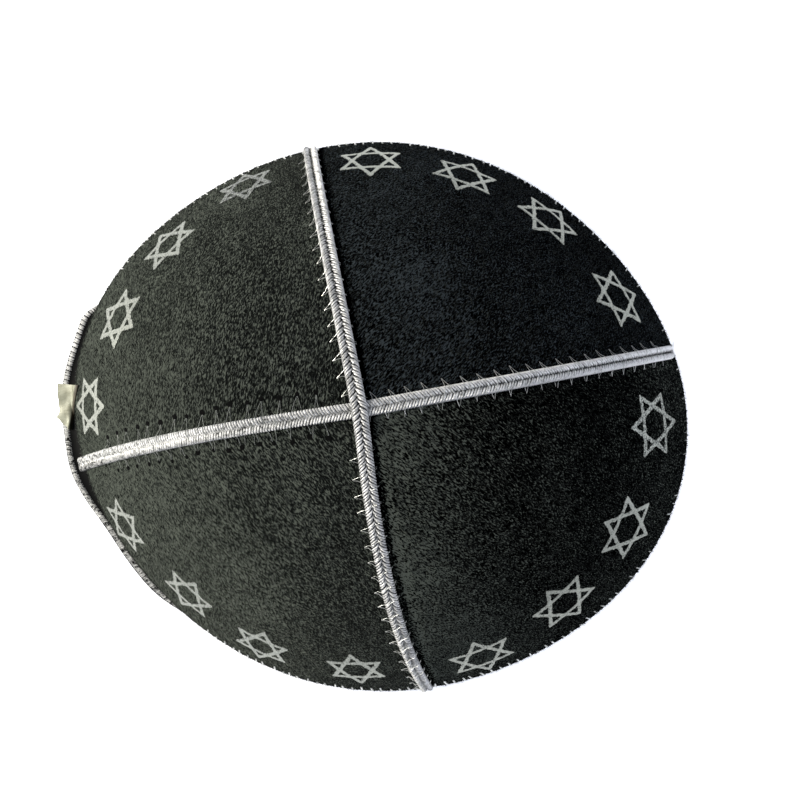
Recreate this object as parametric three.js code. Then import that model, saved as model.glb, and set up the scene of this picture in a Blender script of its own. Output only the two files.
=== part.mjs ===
// Skullcap sewn from four suede gores. Silver braid covers the two seams, a narrower braid is sewn under
// the edge, and four foil stars are printed on each gore.
// Millimetres, +Z up. The cap rests on z = 0, with its seams close to the X and Y directions.

import * as THREE from "three";

const { clamp, degToRad, euclideanModulo, lerp, radToDeg, smoothstep } = THREE.MathUtils;

// The dome is measured on the outer face of the suede, from the upright line through the crown.
const dome = {
  crownHeight: 49.6,
  edgeHeight: 1.0, // edge of the suede above the floor, where the braid under it carries the cap
  halfLength: 88,
  halfWidth: 79.5,
  flankDip: 1.6, // the oval is this much flatter between its long and its short way
  longWay: -20.5, // direction of the oval's long way, degrees from +X
  crownShift: 1.5, // the crown stands this far to the left of the oval's middle
};

// The two ends of the oval spring up off the floor, by this height and over this many degrees each way.
const edgeLifts = [
  { direction: -20, reach: 55, height: 6 },
  { direction: 162, reach: 45, height: 5 },
];

const suede = {
  thickness: 1.4,
  seamGap: 0.3,
  crownShare: 0.012, // the gores stop this share of their length short of the crown, under the braids
  columns: 14,
  rows: 16,
};

// Each gore lies between its own seam and the next one round. A seam leaves the crown at seam degrees from
// +X and bows sideways by bow. The stars of a gore have one size, from the middle to a tip, and each star
// has its place across the gore, as a share, its distance from the edge and its turn in degrees.
const gores = [
  {
    name: "panel_back_right",
    seam: 1.1,
    bow: -0.6,
    starRadius: 10.1,
    stars: { across: [0.146, 0.39, 0.616, 0.853], fromEdge: [15.6, 14.7, 15.7, 15.5], turn: [-6, -4, -1, 3] },
  },
  {
    name: "panel_back_left",
    seam: 92.8,
    bow: -0.8,
    starRadius: 9.6,
    stars: { across: [0.18, 0.424, 0.646, 0.87], fromEdge: [12.1, 16, 17.4, 10.9], turn: [-7, -1, -6, -1] },
  },
  {
    name: "panel_front_left",
    seam: 179,
    bow: -0.9,
    starRadius: 9.2,
    stars: { across: [0.161, 0.383, 0.602, 0.843], fromEdge: [10.5, 14.7, 13.7, 15], turn: [6, 1, 2, 9] },
  },
  {
    name: "panel_front_right",
    seam: 270.7,
    bow: -2.8,
    starRadius: 10.1,
    stars: { across: [0.148, 0.382, 0.604, 0.845], fromEdge: [12.6, 16.7, 16.7, 16.2], turn: [1, 5, 5, 8] },
  },
];

const seamBraid = {
  width: 4.2,
  thickness: 1.4,
  edgeThickness: 0.6, // at its sides and in the groove between its two cords
  gap: 0.3,
  length: 0.994, // share of the seam that it covers
  columns: 8,
  rows: 34,
  crowding: 1.5, // rows stand closer together towards the crown
};
const crossing = { flat: 2.8, reach: 9 }; // distances from the crown over which the upper braid steps down

const rimBraid = {
  width: 3.6,
  thickness: 1.4,
  groove: 0.55, // thickness left between its two cords, as a share
  lobe: 1.2, // swell of each cord
  gap: 0.3,
  tuckedOverhang: 0.7, // reach past the edge of the suede
  flaredOverhang: 3.6,
  flaredSlope: 6, // degrees below level, where it rolls out from under the edge
  flareStart: [142, 150], // directions over which it rolls out, and back in
  flareEnd: [186, 214],
  sides: 8,
  rings: 90,
};

// The tab pulls the rim braid out and down, over reach degrees each way.
const tab = {
  direction: 168.5,
  width: 13,
  thickness: 0.7,
  gap: 0.3,
  pullOut: 1.7,
  pullDown: 1,
  reach: 14,
  overhang: [1.9, 0.6], // reach of its upper leaf past the braid, at its two ends
  lowerLeaf: 0.4,
  columns: 4,
  rows: 18,
};

const star = {
  stroke: 1.1,
  thickness: 0.3,
  gap: 0.3,
};
const starPoints = 6;

const materials = {
  suede: () => new THREE.MeshStandardMaterial({ color: "#2a2e2c", roughness: 0.95, metalness: 0 }),
  braid: () => new THREE.MeshStandardMaterial({ color: "#a3a69f", roughness: 0.4, metalness: 0.6 }),
  foil: () => new THREE.MeshStandardMaterial({ color: "#b9bcb6", roughness: 0.45, metalness: 0.5 }),
  satin: () => new THREE.MeshStandardMaterial({ color: "#bcbda6", roughness: 0.4, metalness: 0.2 }),
};

const cap = new THREE.Group();

function add(name, geometry, material) {
  geometry.computeVertexNormals();
  const mesh = new THREE.Mesh(geometry, material);
  mesh.name = name;
  cap.add(mesh);
}

// A closed geometry whose points are each moved to the place that a function gives.
function form(geometry, place) {
  const position = geometry.getAttribute("position");
  const point = new THREE.Vector3();
  for (let i = 0; i < position.count; i++) {
    point.fromBufferAttribute(position, i);
    const { x, y, z } = place(point);
    position.setXYZ(i, x, y, z);
  }
  return geometry;
}

// A box from 0 to 1 each way: x goes round the cap, y towards the crown and z outwards.
function unitBox(columns, rows) {
  return new THREE.BoxGeometry(1, 1, 1, columns, rows, 1).translate(0.5, 0.5, 0.5);
}

function atDirection(direction, reach, z) {
  const turn = degToRad(direction);
  return new THREE.Vector3(reach * Math.cos(turn), reach * Math.sin(turn), z);
}

// Smooth swell from 0 through 1 to 0, over reach degrees on each side of a middle direction.
function swell(direction, middle, reach) {
  const away = Math.abs(euclideanModulo(direction - middle + 180, 360) - 180);
  return Math.cos((Math.min(away / reach, 1) * Math.PI) / 2) ** 2;
}

function edgeLift(direction) {
  let height = 0;
  for (const lift of edgeLifts) height += lift.height * swell(direction, lift.direction, lift.reach);
  return height;
}

// The line from crown to edge in one direction is a circular arc that leaves the crown level.
function meridian(direction) {
  const way = 2 * degToRad(direction - dome.longWay);
  const middle = (dome.halfLength + dome.halfWidth) / 2;
  const swing = (dome.halfLength - dome.halfWidth) / 2;
  const shift = dome.crownShift * Math.cos(degToRad(direction));
  const reach = middle + swing * Math.cos(way) - dome.flankDip * Math.sin(way) ** 2 + shift;
  const drop = dome.crownHeight - dome.edgeHeight - edgeLift(direction);
  const slope = 2 * Math.atan2(drop, reach);
  const radius = reach / Math.sin(slope);
  return { slope, radius, length: radius * slope };
}

// Point at a share of the way from crown to edge, a height above the outer face of the suede.
function onDome(direction, share, height = 0) {
  const { slope, radius } = meridian(direction);
  const reach = (radius + height) * Math.sin(slope * share);
  const z = dome.crownHeight - radius + (radius + height) * Math.cos(slope * share);
  return atDirection(direction, reach, z);
}

function planReach(direction, share) {
  const { x, y } = onDome(direction, share);
  return Math.hypot(x, y);
}

// Direction of a seam at a share of the way from crown to edge. At the crown itself it has none, so the
// share stays just above 0.
function onSeam({ seam, bow }, share) {
  const past = Math.max(share, 1e-6);
  return seam + radToDeg((bow * Math.sin(Math.PI * past)) / planReach(seam, past));
}

function nextGore(index) {
  const next = gores[(index + 1) % gores.length];
  return { ...next, seam: next.seam > gores[index].seam ? next.seam : next.seam + 360 };
}

function panel(index) {
  return form(unitBox(suede.columns, suede.rows), ({ x, y, z }) => {
    const share = lerp(1, suede.crownShare, y);
    const start = onSeam(gores[index], share);
    const end = onSeam(nextGore(index), share);
    const inset = radToDeg(suede.seamGap / 2 / planReach(lerp(start, end, x), share));
    const direction = lerp(start + inset, end - inset, x);
    return onDome(direction, share, -suede.thickness * (1 - z));
  });
}

// Two cords side by side, laid along one seam, over the crown and down the other. The braid that lies on
// top at the crossing is raised by step there.
function braid(fromGore, toGore, step) {
  return form(unitBox(seamBraid.columns, seamBraid.rows), ({ x, y, z }) => {
    const along = 2 * y - 1;
    const share = seamBraid.length * Math.abs(along) ** seamBraid.crowding;
    const direction = onSeam(along < 0 ? fromGore : toGore, share);
    const sideways = along < 0 ? direction + 90 : direction - 90;
    const distance = share * meridian(direction).length;
    const raised = step * (1 - smoothstep(distance, crossing.flat, crossing.reach));
    const cord = Math.abs(Math.sin(2 * Math.PI * x));
    const depth = z * lerp(seamBraid.edgeThickness, seamBraid.thickness, cord);
    const middle = onDome(direction, share, seamBraid.gap + raised + depth);
    return middle.add(atDirection(sideways, (x - 0.5) * seamBraid.width, 0));
  });
}

// How far the rim braid has rolled out from under the edge: 0 tucked, 1 rolled out.
function flare(direction) {
  const turn = euclideanModulo(direction, 360);
  return smoothstep(turn, ...rimBraid.flareStart) * (1 - smoothstep(turn, ...rimBraid.flareEnd));
}

// Reach and height of a point in the rim braid's own section: out along its width and up through it.
function inRimBraid(direction, out, up) {
  const { slope, radius } = meridian(direction);
  const inner = radius - suede.thickness;
  const pull = swell(direction, tab.direction, tab.reach);
  const dip = lerp(slope, degToRad(rimBraid.flaredSlope), flare(direction));
  const overhang = lerp(rimBraid.tuckedOverhang, rimBraid.flaredOverhang, flare(direction));
  const a = overhang + pull * tab.pullOut - rimBraid.width / 2 + out;
  const b = up - pull * tab.pullDown - rimBraid.gap - rimBraid.thickness / 2;
  const reach = inner * Math.sin(slope) + a * Math.cos(dip) + b * Math.sin(dip);
  const z = dome.crownHeight - radius + inner * Math.cos(slope) - a * Math.sin(dip) + b * Math.cos(dip);
  return new THREE.Vector2(reach, z);
}

// Two cords side by side round the edge, pressed flat where they carry the cap on the floor.
function rimRing() {
  const ring = new THREE.TorusGeometry(2, 1, rimBraid.sides, rimBraid.rings);
  return form(ring, ({ x, y, z }) => {
    const direction = radToDeg(Math.atan2(y, x));
    const across = clamp(Math.hypot(x, y) - 2, -1, 1);
    const out = (across * rimBraid.width) / 2;
    const cord = rimBraid.groove + rimBraid.lobe * Math.abs(across);
    const up = (z * cord * rimBraid.thickness) / 2;
    const point = inRimBraid(direction, out, up);
    return atDirection(direction, point.x, Math.max(point.y, 0));
  });
}

// Middle line of the tab in one direction: out from under the rim braid, back round its inner side and out
// over the top of it.
function tabLine(direction, overhang) {
  const half = rimBraid.width / 2;
  const clear = rimBraid.thickness / 2 + tab.gap + tab.thickness / 2;
  return new THREE.SplineCurve([
    inRimBraid(direction, half + tab.lowerLeaf, -clear),
    inRimBraid(direction, 0, -clear),
    inRimBraid(direction, -half, -clear),
    inRimBraid(direction, -half - clear, 0),
    inRimBraid(direction, -half, clear),
    inRimBraid(direction, 0, clear),
    inRimBraid(direction, half + overhang, clear),
  ]);
}

function jointTab() {
  return form(unitBox(tab.columns, tab.rows), ({ x, y, z }) => {
    const direction = tab.direction + radToDeg(((x - 0.5) * tab.width) / dome.halfLength);
    const line = tabLine(direction, lerp(...tab.overhang, x));
    const point = line.getPoint(y);
    const tangent = line.getTangent(y);
    const offset = (z - 0.5) * tab.thickness;
    return atDirection(direction, point.x + tangent.y * offset, point.y - tangent.x * offset);
  });
}

function polygon(count, turn, radius) {
  const points = [];
  for (let i = 0; i < count; i++) {
    const angle = turn + (2 * Math.PI * i) / count;
    points.push(new THREE.Vector2(radius * Math.cos(angle), radius * Math.sin(angle)));
  }
  return points;
}

// Two crossed triangles drawn with one stroke width: an outline with a hexagon and six small triangles open.
function starShape(radius) {
  const inner = radius / 2 - star.stroke;
  const tips = polygon(starPoints, -Math.PI / 2, radius);
  const notches = polygon(starPoints, -Math.PI / 3, radius / Math.sqrt(3));
  const shape = new THREE.Shape(tips.flatMap((tip, i) => [tip, notches[i]]));
  shape.holes.push(new THREE.Path(polygon(starPoints, 0, (2 * inner) / Math.sqrt(3))));
  const hole = radius / 2 - 2 * star.stroke;
  for (const tip of tips) {
    const turn = tip.angle();
    const triangle = polygon(3, turn, (hole * 2) / 3);
    const middle = radius / 2 + hole / 3;
    const shift = new THREE.Vector2(middle * Math.cos(turn), middle * Math.sin(turn));
    shape.holes.push(new THREE.Path(triangle.map((point) => point.add(shift))));
  }
  return shape;
}

// A star laid on the dome, with y towards the crown. Before its turn, one tip points to the edge.
function foilStar(direction, radius, fromEdge, turn) {
  const flat = new THREE.ExtrudeGeometry(starShape(radius), { depth: star.thickness, bevelEnabled: false });
  flat.rotateZ(degToRad(turn));
  const { length } = meridian(direction);
  return form(flat, ({ x, y, z }) => {
    const share = 1 - (fromEdge + y) / length;
    const sideways = radToDeg(x / planReach(direction, share));
    return onDome(direction + sideways, share, star.gap + z);
  });
}

gores.forEach((gore, index) => add(gore.name, panel(index), materials.suede()));

const [right, back, left, front] = gores;
add("braid_left_right", braid(left, right, 0), materials.braid());
add("braid_front_back", braid(front, back, seamBraid.thickness + seamBraid.gap), materials.braid());
add("rim_braid", rimRing(), materials.braid());
add("joint_tab", jointTab(), materials.satin());

let starCount = 0;
gores.forEach((gore, index) => {
  const { across, fromEdge, turn } = gore.stars;
  across.forEach((share, place) => {
    starCount += 1;
    const direction = lerp(gore.seam, nextGore(index).seam, share);
    const name = `star_${String(starCount).padStart(2, "0")}`;
    add(name, foilStar(direction, gore.starRadius, fromEdge[place], turn[place]), materials.foil());
  });
});

// The origin is on the floor under the middle of the cap's plan.
const middle = new THREE.Box3().setFromObject(cap).getCenter(new THREE.Vector3());
cap.position.set(-middle.x, -middle.y, 0);

const skullcap = new THREE.Group();
skullcap.add(cap);

export default skullcap;
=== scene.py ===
import math
import bmesh
import bpy
import numpy as np
from mathutils import Matrix, Vector


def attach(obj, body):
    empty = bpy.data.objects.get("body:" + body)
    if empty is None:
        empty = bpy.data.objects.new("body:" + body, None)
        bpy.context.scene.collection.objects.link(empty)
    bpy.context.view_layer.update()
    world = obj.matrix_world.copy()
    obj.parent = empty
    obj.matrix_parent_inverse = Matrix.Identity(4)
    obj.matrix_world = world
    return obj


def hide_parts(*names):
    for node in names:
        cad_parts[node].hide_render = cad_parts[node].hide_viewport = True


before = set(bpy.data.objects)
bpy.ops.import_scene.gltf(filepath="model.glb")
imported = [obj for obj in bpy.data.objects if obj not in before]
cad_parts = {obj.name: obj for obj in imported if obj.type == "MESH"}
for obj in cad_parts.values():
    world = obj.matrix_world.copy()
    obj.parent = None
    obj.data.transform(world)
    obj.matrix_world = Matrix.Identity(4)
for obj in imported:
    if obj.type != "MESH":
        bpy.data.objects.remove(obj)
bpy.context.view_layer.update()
print("frame loaded:", len(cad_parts), "nodes")

# Everything is worked out in millimetres and scaled to metres when its mesh is made.
mm = 0.001
rng = np.random.default_rng(18)


# form of the cap, the same as the solids have
dome = {
    "crown": (0.497, 0.009),  # plan place of the crown
    "crownHeight": 49.6,
    "edgeHeight": 1.0,
    "halfLength": 88.0,
    "halfWidth": 79.5,
    "flankDip": 1.6,
    "longWay": -20.5,
    "crownShift": 1.5,
    "lifts": [(-20, 55, 6), (162, 45, 5)],  # direction, reach in degrees, height
    "ripple": 0.16,  # soft unevenness of the leather
    "edgeReach": 86,  # mean distance of the edge from the crown, for spacing what runs round it
}

# Of each gore: seam direction and sideways bow, nap direction, colours of the nap (pits, middle, tips, flat
# colour) and sheen. Its colours are lighter on the left gores and darker on the right, partly the nap's own
# tone and partly painted light and shade. Then where it is painted lighter or darker across X for the fall of
# the key light, and where it is evened to the flat colour (two places in X and the value at each), and how
# light its loose fibres are, also lighter on the left gores. Then its stars: stroke, size and, for each star,
# its place across the gore, its distance from the edge and its turn.
# nap colour sets: lighter for the left gores, darker for the right ones, partly the nap's own tone and partly
# painted light and shade
napPaintedLit = ("#0d0f0e", "#2c302d", "#666c63", "#40453f")
napPaintedShaded = ("#000000", "#07090a", "#434a4d", "#121516")
napPaintedHalfShaded = ("#000000", "#090b0a", "#636961", "#171a1a")
gores = {
    "back_right": {"seam": 1.1, "bow": -0.6, "nap": 38, "grain": napPaintedShaded, "sheen": 0.0,
                   "paintedFalloff": (20, 70, 0.03, -0.05), "smooth": (35, 85, 0, 0.15), "tuftLightness": 0.7,
                   "stroke": 1.1, "starRadius": 10.1,
                   "across": [0.146, 0.39, 0.616, 0.853], "fromEdge": [15.6, 14.7, 15.7, 15.5],
                   "turn": [-6, -4, -1, 3]},
    "back_left": {"seam": 92.8, "bow": -0.8, "nap": 70, "grain": napPaintedLit, "sheen": 0.1,
                  "paintedFalloff": (-75, -15, 0.08, -0.02), "smooth": (-88, -30, 0.75, 0), "tuftLightness": 1.0,
                  "stroke": 1.35, "starRadius": 9.6,
                  "across": [0.18, 0.424, 0.646, 0.87], "fromEdge": [12.1, 16, 17.4, 10.9],
                  "turn": [-7, -1, -6, -1]},
    "front_left": {"seam": 179, "bow": -0.9, "nap": -62, "grain": napPaintedLit, "sheen": 0.12,
                   "paintedFalloff": (-75, -12, 0.1, -0.02), "smooth": (-88, -30, 0.7, 0), "tuftLightness": 1.0,
                   "stroke": 1.2, "starRadius": 9.2,
                   "across": [0.161, 0.383, 0.602, 0.843], "fromEdge": [10.5, 14.7, 13.7, 15],
                   "turn": [6, 1, 2, 9]},
    "front_right": {"seam": 270.7, "bow": -2.8, "nap": -48, "grain": napPaintedHalfShaded, "sheen": 0.0,
                    "paintedFalloff": (2, 42, 0.09, -0.075), "smooth": (35, 85, 0, 0.15), "tuftLightness": 0.75,
                    "stroke": 1.12, "starRadius": 10.1,
                    "across": [0.148, 0.382, 0.604, 0.845], "fromEdge": [12.6, 16.7, 16.7, 16.2],
                    "turn": [1, 5, 5, 8]},
}
goreNames = list(gores)


# a gore and the next one round, whose seam direction is counted on past 360
def goreSpan(index):
    gore, follow = gores[goreNames[index]], gores[goreNames[(index + 1) % 4]]
    return gore, {**follow, "seam": follow["seam"] + 360 * (follow["seam"] < gore["seam"])}


def smoothStep(value, low, high):
    t = np.clip((np.asarray(value, float) - low) / (high - low), 0, 1)
    return t * t * (3 - 2 * t)


def swell(direction, middle, reach):
    away = np.abs((direction - middle + 180) % 360 - 180)
    return np.cos(np.minimum(away / reach, 1) * np.pi / 2) ** 2


# angle, radius and length of the arc from crown to edge
def meridian(direction):
    direction = np.asarray(direction, float)
    way = 2 * np.radians(direction - dome["longWay"])
    reach = (dome["halfLength"] + dome["halfWidth"]) / 2 - dome["flankDip"] * np.sin(way) ** 2
    reach = reach + (dome["halfLength"] - dome["halfWidth"]) / 2 * np.cos(way)
    reach = reach + dome["crownShift"] * np.cos(np.radians(direction))
    drop = dome["crownHeight"] - dome["edgeHeight"]
    for middle, width, height in dome["lifts"]:
        drop = drop - height * swell(direction, middle, width)
    slope = 2 * np.arctan2(drop, reach)
    radius = reach / np.sin(slope)
    return slope, radius, radius * slope


# point at a share of the way from crown to edge, a height above the outer face of the suede
def onDome(direction, share, height=0.0):
    direction, share = np.asarray(direction, float), np.asarray(share, float)
    slope, radius = meridian(direction)[:2]
    turn = np.radians(direction)
    flat = radius * np.sin(slope * share)
    x, y = flat * np.cos(turn), flat * np.sin(turn)
    wave = np.sin(x / 13 + 1.3) * np.sin(y / 16 + 0.4) + 0.7 * np.sin((x + y) / 10) * np.sin((x - y) / 12 + 2)
    raised = height + dome["ripple"] * wave * (1 - smoothStep(share, 0.75, 1))
    reach = (radius + raised) * np.sin(slope * share)
    z = dome["crownHeight"] - radius + (radius + raised) * np.cos(slope * share)
    return np.stack([dome["crown"][0] + reach * np.cos(turn), dome["crown"][1] + reach * np.sin(turn), z], -1)


# the same from a place in the plan, measured from the crown
def overPlan(x, y, height=0.0):
    direction = np.degrees(np.arctan2(y, x))
    slope, radius = meridian(direction)[:2]
    share = np.arcsin(np.clip(np.hypot(x, y) / radius, 0, 0.999)) / slope
    return onDome(direction, share, height)


def planReach(direction, share):
    slope, radius = meridian(direction)[:2]
    return radius * np.sin(slope * np.maximum(share, 1e-6))


def seamDirection(gore, share):
    past = np.maximum(share, 1e-6)
    return gore["seam"] + np.degrees(gore["bow"] * np.sin(np.pi * past) / planReach(gore["seam"], past))


# plan place along a braid: distances below 0 lie on the first arm, above 0 on the second
def alongSeam(arms, distance):
    distance = np.asarray(distance, float)
    x, y = np.zeros_like(distance), np.zeros_like(distance)
    for gore, mine in ((arms[0], distance < 0), (arms[1], distance >= 0)):
        share = np.abs(distance) / meridian(gore["seam"])[2]
        direction = seamDirection(gore, share)
        reach = planReach(direction, share)
        x = np.where(mine, reach * np.cos(np.radians(direction)), x)
        y = np.where(mine, reach * np.sin(np.radians(direction)), y)
    return x, y


# point beside a braid's middle line: sideways is to the left of its run
def besideSeam(arms, distance, sideways, height):
    near = 0.4  # mm to each side, for the seam's heading
    x, y = alongSeam(arms, distance)
    x1, y1 = alongSeam(arms, distance + near)
    x0, y0 = alongSeam(arms, distance - near)
    run = np.hypot(x1 - x0, y1 - y0)
    return overPlan(x - (y1 - y0) / run * sideways, y + (x1 - x0) / run * sideways, height)


def toLinear(code):
    channels = [int(code[i:i + 2], 16) / 255 for i in (1, 3, 5)]
    return tuple(c / 12.92 if c <= 0.04045 else ((c + 0.055) / 1.055) ** 2.4 for c in channels) + (1.0,)


def addPiece(name, mesh, materials, nodes=(), sharp=45):
    mesh.transform(Matrix.Scale(mm, 4))
    mesh.shade_smooth()
    mesh.set_sharp_from_angle(angle=math.radians(sharp))
    for material in materials:
        mesh.materials.append(material)
    piece = bpy.data.objects.new(name, mesh)
    bpy.context.scene.collection.objects.link(piece)
    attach(piece, "root")
    if nodes:
        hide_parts(*nodes)
    return piece


def meshFrom(bm, name):
    bmesh.ops.recalc_face_normals(bm, faces=bm.faces[:])
    mesh = bpy.data.meshes.new(name)
    bm.to_mesh(mesh)
    bm.free()
    return mesh


def moveVerts(verts, place):
    points = place(np.array([v.co for v in verts], float))
    for v, point in zip(verts, points):
        v.co = point


def unit(vectors):
    return vectors / (np.linalg.norm(vectors, axis=-1, keepdims=True) + 1e-12)


# the cap rests on the floor, so nothing reaches below it
def aboveFloor(points, least):
    points[..., 2] = np.maximum(points[..., 2], least)
    return points


# closed thread tubes from an array of paths (tubes, points, 3), each with a tone of its own
def threadMesh(name, paths, radius, tones=None):
    sides = 5
    count, points = paths.shape[:2]
    tangent = unit(np.gradient(paths, axis=1))
    side = unit(np.cross(tangent, np.array([0.13, 0.07, 1.0])))
    up = np.cross(side, tangent)
    turn = 2 * np.pi * np.arange(sides) / sides
    width = np.broadcast_to(np.asarray(radius, float), (count, points))[:, :, None, None]
    around = np.cos(turn)[:, None] * side[:, :, None] - np.sin(turn)[:, None] * up[:, :, None]
    rings = paths[:, :, None] + width * around
    index = np.arange(count * points * sides).reshape(count, points, sides)
    after = np.roll(index, -1, axis=2)
    quads = np.stack([index[:, :-1], index[:, 1:], after[:, 1:], after[:, :-1]], -1).reshape(-1, 4)
    faces = quads.tolist() + index[:, 0].tolist() + index[:, -1, ::-1].tolist()
    mesh = bpy.data.meshes.new(name)
    mesh.from_pydata(rings.reshape(-1, 3), [], faces)
    tone = mesh.attributes.new("tone", "FLOAT", "POINT")
    shade = np.reshape(rng.random(count) if tones is None else tones, (count, -1, 1))
    tone.data.foreach_set("value", np.broadcast_to(shade, (count, points, sides)).astype(np.float32).ravel())
    return mesh


def newMaterial(name, sockets):
    material = bpy.data.materials.new(name)
    material.use_nodes = True
    skin = material.node_tree.nodes["Principled BSDF"]
    for socket, value in sockets.items():
        skin.inputs[socket].default_value = value
    return material, material.node_tree, skin


def addNode(tree, kind, settings, values, links):
    node = tree.nodes.new(kind)
    for name, value in settings.items():
        setattr(node, name, value)
    for name, value in values.items():
        node.inputs[name].default_value = value
    for name, source in links.items():
        tree.links.new(source, node.inputs[name])
    return node


def setRamp(node, stops):
    ramp = node.color_ramp
    while len(ramp.elements) < len(stops):
        ramp.elements.new(0.5)
    for element, (place, code) in zip(ramp.elements, stops):
        element.position = place
        element.color = toLinear(code)


# the last links of a material: its colour, and the relief that its pattern gives it
def finishSkin(tree, skin, colour, pattern, strength, depth):
    bump = addNode(tree, "ShaderNodeBump", {}, {"Strength": strength, "Distance": depth * mm},
                   {"Height": pattern})
    tree.links.new(colour, skin.inputs["Base Color"])
    tree.links.new(bump.outputs["Normal"], skin.inputs["Normal"])


# Split cowhide suede, dyed black and brushed. The raised nap gives a matt, speckled face with streaks along
# the brushing, and its standing fibres lighten it where it is seen or lit at a low angle.
# The streaks are drawn a little coarser than real fibres, so that they show in the render.
suedeLook = {
    "streak": (1.05, 0.36),  # length and width in mm
    "clump": (3.2, 0.14, 3.0), "wear": (26.0, 0.2, 2.0),  # size in mm, how much the tone shifts, detail
    "pressed": -0.2,  # shift of the tone for the painted shadow beside the long braid
    "stops": (0.44, 0.51, 0.61), "relief": 0.3,
}


def makeSuede(name, gore):
    material, tree, skin = newMaterial(name, {
        "Roughness": 0.95, "Diffuse Roughness": 1.0, "Specular IOR Level": 0.0,
        "Sheen Weight": gore["sheen"], "Sheen Roughness": 0.5, "Sheen Tint": toLinear("#b9bfb4")})
    place = addNode(tree, "ShaderNodeTexCoord", {}, {}, {}).outputs["Object"]
    length, width = suedeLook["streak"]
    turned = addNode(tree, "ShaderNodeMapping", {"vector_type": "TEXTURE"},
                     {"Rotation": (0, 0, math.radians(gore["nap"])),
                      "Scale": (length * mm, width * mm, width * mm)}, {"Vector": place})
    fibre = addNode(tree, "ShaderNodeTexNoise", {},
                    {"Scale": 1.0, "Detail": 1.5, "Roughness": 0.5, "Distortion": 0.3},
                    {"Vector": turned.outputs["Vector"]})
    shifts = []
    for size, amount, detail in (suedeLook["clump"], suedeLook["wear"]):
        noise = addNode(tree, "ShaderNodeTexNoise", {}, {"Scale": 1 / (size * mm), "Detail": detail},
                        {"Vector": place})
        shift = addNode(tree, "ShaderNodeMath", {"operation": "MULTIPLY_ADD"}, {1: amount, 2: -amount / 2},
                        {0: noise.outputs["Fac"]})
        shifts.append(shift.outputs["Value"])
    parts = addNode(tree, "ShaderNodeSeparateXYZ", {}, {}, {"Vector": place})
    # painted light and shade across X: lighter towards the key light at the left and near the crown, darker
    # towards the right edge; the second map evens the colour to the flat one near the edges
    falloffShift, flat = (addNode(tree, "ShaderNodeMapRange", {},
                         {"From Min": x0 * mm, "From Max": x1 * mm, "To Min": value0, "To Max": value1},
                         {"Value": parts.outputs["X"]}).outputs["Result"]
                 for x0, x1, value0, value1 in (gore["paintedFalloff"], gore["smooth"]))
    # painted shadow beside the long braid, carried by the tone attribute
    pressed = addNode(tree, "ShaderNodeAttribute", {"attribute_name": "tone"}, {}, {})
    shadowShift = addNode(tree, "ShaderNodeMath", {"operation": "MULTIPLY"}, {1: suedeLook["pressed"]},
                      {0: pressed.outputs["Fac"]})
    total = fibre.outputs["Fac"]
    for shift in (*shifts, falloffShift, shadowShift.outputs["Value"]):
        total = addNode(tree, "ShaderNodeMath", {"operation": "ADD"}, {},
                        {0: total, 1: shift}).outputs["Value"]
    ramp = addNode(tree, "ShaderNodeValToRGB", {}, {}, {"Fac": total})
    setRamp(ramp, list(zip(suedeLook["stops"], gore["grain"])))
    shifted = addNode(tree, "ShaderNodeMix", {"data_type": "RGBA"}, {7: toLinear(gore["grain"][3])},
                   {0: flat, 6: ramp.outputs["Color"]})
    finishSkin(tree, skin, shifted.outputs[2], total, 1.0, suedeLook["relief"])
    return material


# Flesh side of the same leather inside the cap: greyer, closer and without streaks.
def makeSuedeInside():
    material, tree, skin = newMaterial("suede, flesh side", {"Roughness": 0.92, "Specular IOR Level": 0.2})
    place = addNode(tree, "ShaderNodeTexCoord", {}, {}, {}).outputs["Object"]
    grain = addNode(tree, "ShaderNodeTexNoise", {},
                    {"Scale": 1 / (0.7 * mm), "Detail": 4.0, "Roughness": 0.6}, {"Vector": place})
    ramp = addNode(tree, "ShaderNodeValToRGB", {}, {}, {"Fac": grain.outputs["Fac"]})
    setRamp(ramp, [(0.3, "#161918"), (0.7, "#3f4340")])
    finishSkin(tree, skin, ramp.outputs["Color"], grain.outputs["Fac"], 0.6, 0.2)
    return material


# The same suede's loose fibres. Dye and dust leave each tuft a different grey.
def makeNapFibre():
    material, tree, fibre = newMaterial("black suede nap", {
        "Roughness": 0.7, "Diffuse Roughness": 1.0, "Specular IOR Level": 0.05})
    tone = addNode(tree, "ShaderNodeAttribute", {"attribute_name": "tone"}, {}, {})
    ramp = addNode(tree, "ShaderNodeValToRGB", {}, {}, {"Fac": tone.outputs["Fac"]})
    setRamp(ramp, [(0.0, "#08090a"), (0.6, "#2e3230"), (1.0, "#747972")])
    tree.links.new(ramp.outputs["Color"], fibre.inputs["Base Color"])
    return material


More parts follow.
